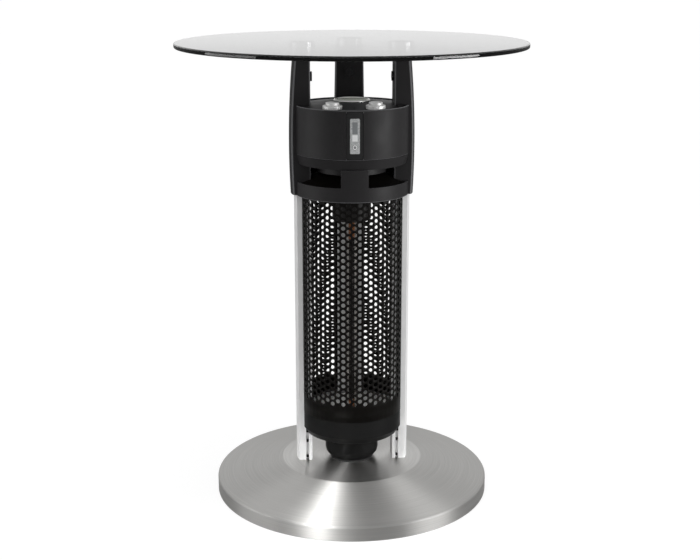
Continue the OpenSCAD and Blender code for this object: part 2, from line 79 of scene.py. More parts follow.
def colour(name, description, code):
    """A colour property whose default is an sRGB hex value."""
    return FloatVectorProperty(
        name=name, description=description, default=linear(code), min=0.0, max=1.0, subtype="COLOR"
    )


# ---------------------------------------------------------------- settings
class StageSettings(bpy.types.PropertyGroup):
    camera_turn: FloatProperty(
        name="Camera turn",
        description="How far the camera stands to the left of straight ahead",
        default=math.radians(3.05),
        subtype="ANGLE",
    )
    camera_tilt: FloatProperty(
        name="Camera tilt",
        description="How far the camera looks down",
        default=math.radians(14.965),
        subtype="ANGLE",
    )
    camera_distance: length("Camera distance", "Level distance from the table's axis", 2155)
    camera_height: length("Camera height", "Height above the floor", 965)
    camera_aside: length("Camera aside", "How far the view's centre lies left of the axis", 3)
    camera_lens: FloatProperty(
        name="Lens", description="Focal length", default=64.39, min=1.0, unit="CAMERA"
    )
    floor_size: length("Floor size", "Side of the square floor", 120000)
    side_light: FloatProperty(
        name="Side light", description="Power of each tall side softbox", default=25.0, unit="POWER"
    )
    key_light: FloatProperty(
        name="Key light", description="Power of the lamp on the base", default=0.45, unit="POWER"
    )
    sky_light: FloatProperty(
        name="Sky", description="Strength of the light from the white cove behind", default=1.0, min=0.0
    )
    front_light: FloatProperty(
        name="Front light", description="Share of the sky's light in front", default=0.72, min=0.0
    )


class TableTopSettings(bpy.types.PropertyGroup):
    arris: length("Arris", "Radius of the polished edges of the glass", 2.1)


class ArmSettings(bpy.types.PropertyGroup):
    edge: length("Edge", "Radius of the long edges", 2.2)
    end_edge: length("End edge", "Radius of the edges at the two ends", 0.8)
    bow: length("Bow", "Radius of the bowed outer line", 1631)
    roundness: length("Roundness", "Radius of the outer face seen from above", 75)
    bulge_z: length("Bulge height", "Height where an arm stands out furthest", 632)
    taper: length("Taper", "How much each side draws in towards the top", 1.5)
    pocket: length("Pocket", "How far a post goes into its arm", 40)
    seam_width: length("Seam width", "Width of the scored line round the head", 0.8)
    seam_depth: length("Seam depth", "Depth of the scored line round the head", 0.6)


class HeadSettings(bpy.types.PropertyGroup):
    rim_edge: length("Rim edge", "Radius of the rim's soft edges", 1.2)
    wall: length("Wall", "Thickness of the mouldings", 3)
    flange: length("Flange", "Inner radius of the inturned flanges", 62)
    gap: length("Gap", "Room between neighbouring mouldings", 0.3)
    window_corner: length("Window corner", "Radius of the corners of the window's opening", 4)
    tab_half: length("Tab", "Half the width of the tab between the vents", 23.1)
    collar_top: length("Collar top", "Height of the lower edge of the vents", 572.5)


class ControlSettings(bpy.types.PropertyGroup):
    skirt_height: length("Skirt height", "Height of a knob's lower tier", 6)
    grip: length("Grip", "Diameter of a knob's upper tier", 23)
    edge: length("Knob edge", "Radius of a knob's edges", 0.8)
    flute: length("Flute", "Depth of the flutes round a knob", 0.4)
    pointer: length("Pointer", "Width of the groove that points to a setting", 1.2)
    louvre: length("Louvre", "Distance between the rings of the speaker's grille", 4.2)
    louvre_depth: length("Louvre depth", "Depth of the channels between those rings", 0.8)


class GuardSettings(bpy.types.PropertyGroup):
    hole_d: length("Hole", "Diameter of a round hole in the guard", 7.5)
    pitch: length("Pitch", "Distance between the centres of neighbouring holes", 11.3)
    plain_band: length("Plain band", "Height of the undrilled band at the lower edge", 20)
    sheet: length("Sheet", "Thickness of the guard's steel sheet", 0.8)


class BaseSettings(bpy.types.PropertyGroup):
    plateau_r: length("Plateau", "Radius of the flat middle", 127)
    rim_z: length("Rim height", "Height where cone and rim would meet", 27.3)
    sheet: length("Sheet", "Thickness of the spun steel", 1.2)
    shoulder: length("Shoulder", "Radius of the rounded shoulder", 3.2)
    crease: length("Crease", "Radius of the crease round the plateau", 1.6)


class FinishSettings(bpy.types.PropertyGroup):
    moulding: colour("Moulding", "Black moulded plastic", "282728")
    glass_depth: FloatProperty(
        name="Glass depth", description="Light the glass takes up per metre", default=76.0, min=0.0
    )
    steel: colour("Base steel", "Brushed stainless steel", "b8b7b5")
    posts: colour("Posts", "Coated aluminium", "f8f8f8")
    guard: colour("Guard", "Dark enamelled steel", "0a0806")
    fine_r: length("Fine polish", "Radius of the finely polished middle of the base", 127)


def settings(group):
    """This add-on's settings of one group."""
    return getattr(bpy.context.scene, "heated_table_" + group)


# ---------------------------------------------------------------- modelling helpers
def span(node):
    """Lowest and highest corner of a part of the frame."""
    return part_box(node)


def new_shape():
    """An empty mesh whose rounded edges can be noted."""
    bm = bmesh.new()
    bm.faces.layers.float.new(EDGE_MARK)
    return bm


def turned(outline, steps, closed=True):
    """A part turned round the upright axis from an outline of (radius, height) points."""
    bm = new_shape()
    verts = [bm.verts.new((r, 0.0, z)) for r, z in outline]
    pairs = zip(verts, verts[1:] + verts[:1] if closed else verts[1:])
    edges = [bm.edges.new(p) for p in pairs if p[0].co.x + p[1].co.x > 0]
    bmesh.ops.spin(
        bm,
        geom=verts + edges,
        cent=ORIGIN,
        axis=Z_AXIS,
        dvec=ORIGIN,
        angle=math.tau,
        steps=steps,
        use_merge=True,
        use_duplicate=False,
    )
    tidy(bm)
    return bm


def tidy(bm, distance=0.01 * MM):
    """Merge doubles and turn every face outwards."""
    bmesh.ops.remove_doubles(bm, verts=bm.verts, dist=distance)
    bmesh.ops.recalc_face_normals(bm, faces=bm.faces)


def soften(bm, edges, width, segments=3):
    """Round the given edges and note the new faces as edge faces."""
    rounded = bmesh.ops.bevel(
        bm,
        geom=edges,
        offset=width,
        offset_type="OFFSET",
        segments=segments,
        profile=ROUND,
        affect="EDGES",
        clamp_overlap=True,
        material=KEEP_MATERIAL,
    )
    mark = bm.faces.layers.float[EDGE_MARK]
    for face in rounded["faces"]:
        face[mark] = 1.0


def sharp_edges(bm, limit=math.radians(30)):
    """Edges where the surface turns by more than the limit."""
    return [e for e in bm.edges if e.is_manifold and e.calc_face_angle(0.0) > limit]


def ring_edges(bm, radius, height, slack=0.05 * MM):
    """Edges of the ring of that radius and height about the upright axis."""
    return [
        e
        for e in bm.edges
        if all(
            abs(v.co.xy.length - radius) < slack and abs(v.co.z - height) < slack for v in e.verts
        )
    ]


def cut_off(bm, point, normal):
    """Cut away what lies in front of a plane and close the cut."""
    cut = bmesh.ops.bisect_plane(
        bm,
        geom=bm.verts[:] + bm.edges[:] + bm.faces[:],
        dist=0.001 * MM,
        plane_co=point,
        plane_no=normal,
        clear_outer=True,
    )
    edges = [g for g in cut["geom_cut"] if isinstance(g, bmesh.types.BMEdge)]
    bmesh.ops.holes_fill(bm, edges=edges, sides=0)


def score_plane(bm, point, normal):
    """Cut the surface along a plane and keep both sides."""
    bmesh.ops.bisect_plane(
        bm,
        geom=bm.verts[:] + bm.edges[:] + bm.faces[:],
        dist=0.001 * MM,
        plane_co=point,
        plane_no=normal,
    )


def merged(*parts):
    """All the parts in the first one's mesh."""
    whole = parts[0]
    for part in parts[1:]:
        mesh = bpy.data.meshes.new("part")
        part.to_mesh(mesh)
        whole.from_mesh(mesh)
        bpy.data.meshes.remove(mesh)
        part.free()
    return whole


def extruded(bm, faces):
    """Extrude the faces as one region; returns its new vertices."""
    made = bmesh.ops.extrude_face_region(bm, geom=faces)
    return [g for g in made["geom"] if isinstance(g, bmesh.types.BMVert)]


def level_faces(bm, level, slack=0.05 * MM):
    """Level faces at one height."""
    return [
        f
        for f in bm.faces
        if abs(f.normal.z) > 0.95 and abs(f.calc_center_median().z - level) < slack
    ]


def between_arms(bm, clearance):
    """The three sectors of a turned ring that the arms or posts leave."""
    sectors = []
    for planes in (
        [((0, -clearance, 0), (0, 1, 0))],
        [((-clearance, 0, 0), (1, 0, 0)), ((0, clearance, 0), (0, -1, 0))],
        [((clearance, 0, 0), (-1, 0, 0)), ((0, clearance, 0), (0, -1, 0))],
    ):
        sector = bm.copy()
        for point, normal in planes:
            cut_off(sector, point, normal)
        bmesh.ops.recalc_face_normals(sector, faces=sector.faces)
        sectors.append(sector)
    bm.free()
    return sectors


def piece(name, bm, finish, body="frame", stands_for=()):
    """Make the finished mesh an object that rides on a body of the frame."""
    for face in bm.faces:
        face.smooth = True
    for edge in sharp_edges(bm, math.radians(32)):
        edge.smooth = False
    mesh = bpy.data.meshes.new(name)
    bm.to_mesh(mesh)
    bm.free()
    made = bpy.data.objects.new(name, mesh)
    bpy.context.scene.collection.objects.link(made)
    mesh.materials.append(bpy.data.materials[finish])
    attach(made, body)
    if stands_for:
        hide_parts(*stands_for)
    # Shade each large face by its own normal and let only the bevels turn
    shading = made.modifiers.new("shading", "WEIGHTED_NORMAL")
    shading.keep_sharp = True
    return made


# ---------------------------------------------------------------- finishes
def add_node(tree, kind, settings=None, inputs=None):
    """Add a node; inputs hold values, or the sockets that feed it."""
    node = tree.nodes.new(kind)
    for name, value in (settings or {}).items():
        setattr(node, name, value)
    for name, value in (inputs or {}).items():
        if isinstance(value, bpy.types.NodeSocket):
            tree.links.new(value, node.inputs[name])
        else:
            node.inputs[name].default_value = value
    return node


def new_finish(name, inputs):
    """A material with a Principled shader; returns its tree and shader."""
    material = bpy.data.materials.new(name)
    material.use_nodes = True
    tree = material.node_tree
    tree.nodes.clear()
    shader = add_node(tree, "ShaderNodeBsdfPrincipled", inputs=inputs)
    add_node(tree, "ShaderNodeOutputMaterial", inputs={"Surface": shader.outputs["BSDF"]})
    return tree, shader


def rgba(rgb, factor=1.0):
    """A colour socket's value."""
    return tuple(min(1.0, c * factor) for c in rgb) + (1.0,)


def textured(
    name, rgb, roughness, grain=1.0, depth=0.02, stretch=(1, 1, 1), mottle=0.05, rubbed=None, **more
):
    """A finish with a fine grain in relief and a slow change of gloss and tone; sizes in mm.

    A tone given for the edges is painted on its rounded edges: a painted highlight in place of the
    light their gloss catches.
    """
    inputs = {"Roughness": roughness}
    inputs.update(more)
    tree, shader = new_finish(name, inputs)
    place = add_node(tree, "ShaderNodeTexCoord").outputs["Object"]
    along = add_node(
        tree, "ShaderNodeMapping", inputs={"Vector": place, "Scale": stretch}
    ).outputs["Vector"]
    fine = add_node(
        tree,
        "ShaderNodeTexNoise",
        inputs={"Vector": along, "Scale": 1 / (grain * MM), "Detail": 2.0},
    ).outputs["Fac"]
    slow = add_node(
        tree,
        "ShaderNodeTexNoise",
        inputs={"Vector": place, "Scale": 1 / (35 * MM), "Detail": 3.0},
    ).outputs["Fac"]
    relief = add_node(
        tree,
        "ShaderNodeBump",
        inputs={"Height": fine, "Distance": depth * MM, "Strength": 1.0},
    )
    gloss = add_node(
        tree,
        "ShaderNodeMapRange",
        inputs={
            "Value": slow,
            "From Min": 0.3,
            "From Max": 0.7,
            "To Min": max(0.02, roughness - mottle),
            "To Max": roughness + mottle,
        },
    )
    tone = add_node(
        tree,
        "ShaderNodeMix",
        settings={"data_type": "RGBA"},
        inputs={0: slow, 6: rgba(rgb, 0.9), 7: rgba(rgb, 1.1)},
    )
    # Painted highlight: the faces of the rounded edges get a lighter tone
    if rubbed:
        mark = add_node(tree, "ShaderNodeAttribute", settings={"attribute_name": EDGE_MARK})
        tone = add_node(
            tree,
            "ShaderNodeMix",
            settings={"data_type": "RGBA"},
            inputs={0: mark.outputs["Fac"], 6: tone.outputs[2], 7: rgba(rubbed)},
        )
    tree.links.new(relief.outputs["Normal"], shader.inputs["Normal"])
    tree.links.new(gloss.outputs["Result"], shader.inputs["Roughness"])
    tree.links.new(tone.outputs[2], shader.inputs["Base Color"])
    return tree, shader


def moulded_finishes(look):
    """Injection moulded plastics and rubber: a dull skin with the mould's fine texture."""
    # ABS from a spark-eroded mould: even black, dull, with a broad soft sheen. The real grain
    # is about 0.3 mm and is drawn as 0.9 mm so that it shows.
    # Its rounded edges get a lighter tone, a painted highlight along them
    skin = {"Specular IOR Level": 0.18, "rubbed": linear("6a6a6c")}
    textured("moulded_abs", look.moulding, 0.48, grain=0.9, depth=0.025, mottle=0.05, **skin)
    # The cup below the guard is the same ABS, from a smoother mould
    skin = {"Specular IOR Level": 0.12}
    textured("moulded_abs_cup", linear("161616"), 0.44, grain=0.9, depth=0.015, mottle=0.05, **skin)
    # Smoother ABS of the recessed surround of the window
    textured("smooth_abs", linear("161617"), 0.38, grain=1.5, depth=0.006, mottle=0.04)
    # Nylon of glands and switch bodies
    textured("nylon", linear("1b1b1c"), 0.48, grain=0.8, depth=0.02)
    # Phenolic moulding of switches and controls
    textured("phenolic", linear("262321"), 0.42, grain=1.2, depth=0.01)
    # White polycarbonate of the light block
    textured("white_polycarbonate", linear("e9eaeb"), 0.35, grain=1.5, depth=0.004)
    # Infrared-clear plastic of the receiver's dome
    textured("receiver_epoxy", linear("6c7073"), 0.25, grain=2.0, depth=0.003)
    # Vulcanised rubber: darkest, almost without gloss
    textured("rubber", linear("101010"), 0.75, grain=0.7, depth=0.03)
    # Paper cone of the speaker
    textured("speaker_paper", linear("1a1a1b"), 0.85, grain=0.6, depth=0.05)
    # Fired alumina of the lamp's end caps: chalky white
    textured("alumina", linear("e6e2d8"), 0.65, grain=0.7, depth=0.02)
    # Glass-fibre circuit board under green lacquer
    textured("circuit_laminate", linear("1f4a2b"), 0.35, grain=0.8, depth=0.01)


def metal_finishes(look):
    """Metals: their colour is the reflection's, and how they were worked sets the gloss."""
    # Powder-coated screws and fasteners, nearly black
    textured("blackened_steel", linear("2a2a2b"), 0.24, grain=0.8, depth=0.01, Metallic=0.7)
    # Zinc-plated bolts and tubes
    textured("zinc_plate", linear("a9abad"), 0.38, grain=1.0, depth=0.01, Metallic=1.0)
    # Cold-rolled plate with a thin dark primer
    textured("primed_plate", linear("3a3b3d"), 0.6, grain=0.8, depth=0.03, Metallic=0.3)
    # Cast iron of the ballast, coarse from the sand
    textured("cast_iron", linear("2b2a2a"), 0.8, grain=1.6, depth=0.15, Metallic=0.2)
    # Rolled galvanised sheet of the supply's case, grey and dull
    textured("galvanised_sheet", linear("55565a"), 0.5, grain=6.0, depth=0.01, Metallic=0.8)
    # Die-cast knobs, bead-blasted before a matt chrome plate: pale, with a fine sparkle
    textured("matt_chrome_plate", linear("e6e6e5"), 0.42, grain=1.4, depth=0.06, Metallic=0.5)
    # Polished aluminium of the discs under the glass
    textured("polished_aluminium", linear("dcdcdd"), 0.16, grain=2.0, depth=0.002, Metallic=1.0)
    # Anodised reflector sheet at the lamp's foot, etched so that it spreads the light
    textured("bright_reflector", linear("f6f6f4"), 0.45, grain=1.5, depth=0.01, Metallic=0.3)
    # Trim ring: chromed plastic, bright
    textured("chromed_trim", linear("ecece8"), 0.3, grain=2.0, depth=0.003, Metallic=0.6)
    # Ringed grille over the speaker under a greenish silver lacquer
    textured("lacquered_grille", linear("d8dcd0"), 0.42, grain=1.5, depth=0.02, Metallic=0.15)
    # Copper clips of the lamp, browned by heat
    textured("heat_browned_copper", linear("b06d3c"), 0.35, grain=3.0, depth=0.01, Metallic=1.0)
    # Posts: extruded aluminium under a thin silver-white powder coat. The die's faint lines
    # along the length show through.
    textured(
        "coated_aluminium",
        look.posts,
        0.36,
        grain=0.8,
        depth=0.006,
        stretch=(1, 1, 0.01),
        mottle=0.03,
        Metallic=0.05,
    )
    # Guard: deep-drawn steel under dark heatproof enamel, brown-black with a low gloss
    enamel = {"Specular IOR Level": 0.12}
    textured("heatproof_enamel", look.guard, 0.45, grain=1.2, depth=0.02, **enamel)
    # Carbon-fibre ribbon of the lamp
    textured("carbon_ribbon", linear("231c1b"), 0.7, grain=0.8, depth=0.05, stretch=(1, 1, 0.15))


def smoked_glass(look):
    """Tempered float glass coloured in the melt: grey seen through, black along its edge."""
    tree, shader = new_finish(
        "smoked_float_glass",
        {
            "Base Color": rgba(linear("ffffff")),
            "Roughness": 0.02,
            "IOR": 1.52,
            "Transmission Weight": 1.0,
        },
    )
    # Tempering leaves the faces very slightly wavy, over some 60 mm
    place = add_node(tree, "ShaderNodeTexCoord").outputs["Object"]
    waves = add_node(
        tree,
        "ShaderNodeTexNoise",
        inputs={"Vector": place, "Scale": 1 / (60 * MM), "Detail": 1.0},
    ).outputs["Fac"]
    relief = add_node(
        tree,
        "ShaderNodeBump",
        inputs={"Height": waves, "Distance": 0.02 * MM, "Strength": 1.0},
    )
    tree.links.new(relief.outputs["Normal"], shader.inputs["Normal"])
    depth = add_node(
        tree,
        "ShaderNodeVolumeAbsorption",
        inputs={"Color": rgba(linear("1c2022")), "Density": look.glass_depth},
    )
    surface = shader.outputs["BSDF"].links[0].to_node
    tree.links.new(depth.outputs["Volume"], surface.inputs["Volume"])


def quartz():
    """Fused quartz of the lamp's tube: clear, with a lower index than glass."""
    new_finish(
        "fused_quartz",
        {
            "Base Color": rgba(linear("e4e2df")),
            "Roughness": 0.03,
            "IOR": 1.46,
            "Transmission Weight": 1.0,
        },
    )


def window_film():
    """Polycarbonate window with a silver-grey film behind it, its light field left clear."""
    tree, shader = new_finish(
        "film_backed_polycarbonate", {"Roughness": 0.2, "IOR": 1.58, "Coat Weight": 0.5}
    )
    place = add_node(tree, "ShaderNodeTexCoord").outputs["Object"]
    parts = add_node(tree, "ShaderNodeSeparateXYZ", inputs={"Vector": place}).outputs
    # Vacuum-metallised flecks of the film, 0.2 mm in fact and drawn 1 mm wide
    flecks = add_node(
        tree,
        "ShaderNodeTexNoise",
        inputs={"Vector": place, "Scale": 1 / (1.0 * MM), "Detail": 1.0},
    ).outputs["Fac"]
    tone = add_node(
        tree,
        "ShaderNodeMix",
        settings={"data_type": "RGBA"},
        inputs={0: flecks, 6: rgba(linear("606263")), 7: rgba(linear("f0f2f2"))},
    ).outputs[2]
    light_low, light_high = span("status_light")
    dome_low, dome_high = span("remote_receiver")
    for low, high, code in (
        (light_low.z, light_high.z, "f4f5f5"),
        (light_high.z + 1.5 * MM, dome_high.z - 2 * MM, "85888a"),
    ):
        across = add_node(
            tree,
            "ShaderNodeMath",
            settings={"operation": "COMPARE"},
            inputs={0: parts["X"], 1: 0.0, 2: light_high.x - 0.4 * MM},
        ).outputs["Value"]
        along = add_node(
            tree,
            "ShaderNodeMath",
            settings={"operation": "COMPARE"},
            inputs={0: parts["Z"], 1: (low + high) / 2, 2: (high - low) / 2},
        ).outputs["Value"]
        field = add_node(
            tree,
            "ShaderNodeMath",
            settings={"operation": "MULTIPLY"},
            inputs={0: across, 1: along},
        ).outputs["Value"]
        tone = add_node(
            tree,
            "ShaderNodeMix",
            settings={"data_type": "RGBA"},
            inputs={0: field, 6: tone, 7: rgba(linear(code))},
        ).outputs[2]
    tree.links.new(tone, shader.inputs["Base Color"])


def printed_button():
    """White polycarbonate button under a grey film, with a ring left clear in the film."""
    low, high = span("power_button")
    tree, shader = new_finish("ring_printed_button", {"Roughness": 0.35})
    place = add_node(tree, "ShaderNodeTexCoord").outputs["Object"]
    centred = add_node(
        tree,
        "ShaderNodeMapping",
        inputs={"Vector": place, "Location": (0, 0, -(low.z + high.z) / 2), "Scale": (1, 0, 1)},
    ).outputs["Vector"]
    radius = add_node(
        tree, "ShaderNodeVectorMath", settings={"operation": "LENGTH"}, inputs={0: centred}
    ).outputs["Value"]
    # The ring is 3.1 mm in radius and 1.2 mm wide
    ring = add_node(
        tree,
        "ShaderNodeMath",
        settings={"operation": "COMPARE"},
        inputs={0: radius, 1: 3.1 * MM, 2: 0.6 * MM},
    ).outputs["Value"]
    tone = add_node(
        tree,
        "ShaderNodeMix",
        settings={"data_type": "RGBA"},
        inputs={0: ring, 6: rgba(linear("8e9192")), 7: rgba(linear("ffffff"))},
    )
    tree.links.new(tone.outputs[2], shader.inputs["Base Color"])


def brushed_steel(look):
    """Stainless steel turned under an abrasive pad: fine rings, so light fans out in streaks."""
    tree, shader = new_finish(
        "ring_brushed_stainless",
        {"Metallic": 1.0, "Anisotropic": 0.9, "Anisotropic Rotation": 0.25},
    )
    place = add_node(tree, "ShaderNodeTexCoord").outputs["Object"]
    parts = add_node(tree, "ShaderNodeSeparateXYZ", inputs={"Vector": place}).outputs
    level = add_node(
        tree,
        "ShaderNodeVectorMath",
        settings={"operation": "MULTIPLY"},
        inputs={0: place, 1: (1.0, 1.0, 0.0)},
    ).outputs["Vector"]
    radius = add_node(
        tree, "ShaderNodeVectorMath", settings={"operation": "LENGTH"}, inputs={0: level}
    ).outputs["Value"]
    # Distance along the profile, so that the rings run over the shoulder and down the rim
    down = add_node(
        tree,
        "ShaderNodeMath",
        settings={"operation": "SUBTRACT"},
        inputs={0: radius, 1: parts["Z"]},
    ).outputs["Value"]
    heading = add_node(
        tree, "ShaderNodeVectorMath", settings={"operation": "NORMALIZE"}, inputs={0: level}
    ).outputs["Vector"]
    # One turn counts as a few millimetres, which draws each scratch out to a long arc
    arc = add_node(
        tree,
        "ShaderNodeVectorMath",
        settings={"operation": "SCALE"},
        inputs={0: heading, "Scale": 1.2 * MM},
    ).outputs["Vector"]
    across = add_node(tree, "ShaderNodeCombineXYZ", inputs={"Z": down}).outputs["Vector"]
    ways = add_node(
        tree, "ShaderNodeVectorMath", settings={"operation": "ADD"}, inputs={0: arc, 1: across}
    ).outputs["Vector"]
    # Pad scratches are about 0.1 mm apart; drawn 0.9 mm apart so that they show
    scratches = add_node(
        tree,
        "ShaderNodeTexNoise",
        inputs={"Vector": ways, "Scale": 1 / (0.9 * MM), "Detail": 3.0, "Roughness": 0.7},
    ).outputs["Fac"]
    relief = add_node(
        tree,
        "ShaderNodeBump",
        inputs={"Height": scratches, "Distance": 0.03 * MM, "Strength": 1.0},
    )
    # The cone is brushed with a coarse pad, the flat middle polished much finer
    gloss = add_node(
        tree,
        "ShaderNodeMapRange",
        inputs={
            "Value": radius,
            "From Min": look.fine_r - 0.5 * MM,
            "From Max": look.fine_r + 0.5 * MM,
            "To Min": 0.34,
            "To Max": 0.52,
        },
    )
    tone = add_node(
        tree,
        "ShaderNodeMix",
        settings={"data_type": "RGBA"},
        inputs={0: scratches, 6: rgba(look.steel, 0.7), 7: rgba(look.steel, 1.2)},
    )
    along_ring = add_node(
        tree,
        "ShaderNodeVectorMath",
        settings={"operation": "CROSS_PRODUCT"},
        inputs={0: (0.0, 0.0, 1.0), 1: level},
    ).outputs["Vector"]
    ring_way = add_node(
        tree, "ShaderNodeVectorMath", settings={"operation": "NORMALIZE"}, inputs={0: along_ring}
    ).outputs["Vector"]
    tree.links.new(relief.outputs["Normal"], shader.inputs["Normal"])
    tree.links.new(gloss.outputs["Result"], shader.inputs["Roughness"])
    tree.links.new(tone.outputs[2], shader.inputs["Base Color"])
    tree.links.new(ring_way, shader.inputs["Tangent"])


# Finishes of parts that differ from the rest of their slot
OWN_FINISHES = {"power_button": "ring_printed_button", "lower_reflector": "bright_reflector"}

# Finish of each material slot of the record
SLOT_FINISHES = {
    "smoked_glass": "smoked_float_glass",
    "disc_metal": "polished_aluminium",
    "black_moulding": "moulded_abs",
    "bezel_plastic": "smooth_abs",
    "clear_lens": "film_backed_polycarbonate",
    "knob_metal": "matt_chrome_plate",
    "trim_metal": "chromed_trim",
    "speaker_mesh": "lacquered_grille",
    "speaker_parts": "speaker_paper",
    "magnet": "cast_iron",
    "spindle_steel": "zinc_plate",
    "control_plastic": "phenolic",
    "white_plastic": "white_polycarbonate",
    "receiver_plastic": "receiver_epoxy",
    "circuit_board": "circuit_laminate",
    "supply_case": "galvanised_sheet",
    "shield_steel": "heatproof_enamel",
    "lamp_holder": "phenolic",
    "end_ceramic": "alumina",
    "quartz": "fused_quartz",
    "copper": "heat_browned_copper",
    "carbon": "carbon_ribbon",
    "guard_steel": "heatproof_enamel",
    "post_aluminium": "coated_aluminium",
    "black_screws": "blackened_steel",
    "cup_plastic": "moulded_abs_cup",
    "rubber": "rubber",
    "gland_plastic": "nylon",
    "lead_rubber": "rubber",
    "brushed_base": "ring_brushed_stainless",
    "plate_steel": "primed_plate",
    "ballast_iron": "cast_iron",
    "hardware_steel": "zinc_plate",
}


# ---------------------------------------------------------------- operators
class HEATER_OT_stage(bpy.types.Operator):
    """Set the camera, the pale floor and the soft studio light"""

    bl_idname = "heater.stage"
    bl_label = "Stage"

    def execute(self, context):
        stage = settings("stage")
        self.add_camera(context, stage)
        self.add_floor(stage)
        self.add_sky(context, stage)
        turn = stage.camera_turn
        for name, side, wide, share in (("left", 78, 1.5, 0.3), ("right", -64, 1.2, 0.75)):
            where = turn + math.radians(side)
            power = stage.side_light * share
            # Its top stays below the table's, or it would stand mirrored in the glass
            self.add_softbox(name + "_softbox", where, 0.42, wide, 0.64, power, (0, 0, 0.5))
        # A narrow lamp from the front left draws a streak across the brushed base
        where = turn + math.radians(31)
        spot = self.add_softbox("base_lamp", where, 2.0, 0.2, 0.2, stage.key_light, (0, -0.2, 0))
        spot.spread = math.radians(11)
        context.scene.view_settings.view_transform = "Standard"
        return {"FINISHED"}

    def add_camera(self, context, stage):
        """The camera looks level across the top and down on the base."""
        lens = bpy.data.cameras.new("camera")
        lens.lens = stage.camera_lens
        lens.sensor_width = 36.0
        camera = bpy.data.objects.new("camera", lens)
        context.scene.collection.objects.link(camera)
        turned_round = Matrix.Rotation(-stage.camera_turn, 4, "Z")
        stand = Vector((-stage.camera_aside, -stage.camera_distance, stage.camera_height))
        tilt = Matrix.Rotation(math.pi / 2 - stage.camera_tilt, 4, "X")
        camera.matrix_world = turned_round @ Matrix.Translation(stand) @ tilt
        context.scene.camera = camera

    def add_floor(self, stage):
        """A plain floor, white to the eye and pale grey to what stands on it."""
        bm = bmesh.new()
        bmesh.ops.create_grid(bm, x_segments=1, y_segments=1, size=stage.floor_size / 2)
        mesh = bpy.data.meshes.new("floor")
        bm.to_mesh(mesh)
        bm.free()
        floor = bpy.data.objects.new("floor", mesh)
        bpy.context.scene.collection.objects.link(floor)
        material = bpy.data.materials.new("studio_floor")
        material.use_nodes = True
        tree = material.node_tree
        tree.nodes.clear()
        ray = self.seen_by_eye(tree)
        paint = add_node(tree, "ShaderNodeBsdfDiffuse", inputs={"Color": rgba(linear("7c7c7c"))})
        glow = add_node(
            tree, "ShaderNodeEmission", inputs={"Color": rgba(linear("ffffff")), "Strength": 0.85}
        )
        seen = add_node(
            tree,
            "ShaderNodeAddShader",
            inputs={0: paint.outputs["BSDF"], 1: glow.outputs["Emission"]},
        )
        choice = add_node(
            tree,
            "ShaderNodeMixShader",
            inputs={0: ray, 1: paint.outputs["BSDF"], 2: seen.outputs["Shader"]},
        )
        add_node(tree, "ShaderNodeOutputMaterial", inputs={"Surface": choice.outputs["Shader"]})
        mesh.materials.append(material)

    def seen_by_eye(self, tree):
        """Whether the eye sees the studio itself, bare or through glass."""
        rays = add_node(tree, "ShaderNodeLightPath").outputs
        return add_node(
            tree,
            "ShaderNodeMath",
            settings={"operation": "MAXIMUM"},
            inputs={0: rays["Is Camera Ray"], 1: rays["Is Transmission Ray"]},
        ).outputs["Value"]

    def add_sky(self, context, stage):
        """Even light that is brightest at the horizon, as in a white cove."""
        world = bpy.data.worlds.new("studio")
        world.use_nodes = True
        tree = world.node_tree
        tree.nodes.clear()
        way = add_node(tree, "ShaderNodeTexCoord").outputs["Generated"]
        parts = add_node(tree, "ShaderNodeSeparateXYZ", inputs={"Vector": way}).outputs
        above = add_node(
            tree,
            "ShaderNodeMapRange",
            inputs={
                "Value": parts["Z"],
                "From Min": 0.2,
                "From Max": 0.9,
                "To Min": stage.sky_light,
                "To Max": stage.sky_light * 0.7,
            },
        ).outputs["Result"]
        behind = add_node(
            tree,
            "ShaderNodeMapRange",
            inputs={
                "Value": parts["Y"],
                "From Min": -0.95,
                "From Max": -0.35,
                "To Min": stage.front_light,
                "To Max": 1.0,
            },
        ).outputs["Result"]
        fall = add_node(
            tree,
            "ShaderNodeMath",
            settings={"operation": "MULTIPLY"},
            inputs={0: above, 1: behind},
        ).outputs["Value"]
        ray = self.seen_by_eye(tree)
        strength = add_node(
            tree,
            "ShaderNodeMix",
            settings={"data_type": "FLOAT"},
            inputs={0: ray, 2: fall, 3: 1.0},
        ).outputs[0]
        back = add_node(
            tree,
            "ShaderNodeBackground",
            inputs={"Color": rgba(linear("ffffff")), "Strength": strength},
        )
        add_node(tree, "ShaderNodeOutputWorld", inputs={"Surface": back.outputs["Background"]})
        context.scene.world = world

    def add_softbox(self, name, turn, height, width, tall, power, aim):
        """A rectangular light two metres off, turned clockwise from straight ahead."""
        light = bpy.data.lights.new(name, "AREA")
        light.shape = "RECTANGLE"
        light.size, light.size_y = width, tall
        light.energy = power
        box = bpy.data.objects.new(name, light)
        bpy.context.scene.collection.objects.link(box)
        stand = Matrix.Rotation(-turn, 4, "Z") @ Vector((0, -2.0, height))
        facing = (Vector(aim) - stand).to_track_quat("-Z", "Y")
        box.matrix_world = Matrix.Translation(stand) @ facing.to_matrix().to_4x4()
        # It lights the object and shows in its gloss, but not behind it or through the glass
        box.visible_camera = False
        box.visible_transmission = False
        return light


class HEATER_OT_finishes(bpy.types.Operator):
    """Make every finish and give each part of the frame its own"""

    bl_idname = "heater.finishes"
    bl_label = "Finishes"

    def execute(self, context):
        look = settings("finish")
        moulded_finishes(look)
        metal_finishes(look)
        smoked_glass(look)
        quartz()
        window_film()
        printed_button()
        brushed_steel(look)
        for name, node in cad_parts.items():
            slot = node.data.materials[0].name
            finish = OWN_FINISHES.get(name, SLOT_FINISHES[slot])
            node.data.materials[0] = bpy.data.materials[finish]
        return {"FINISHED"}


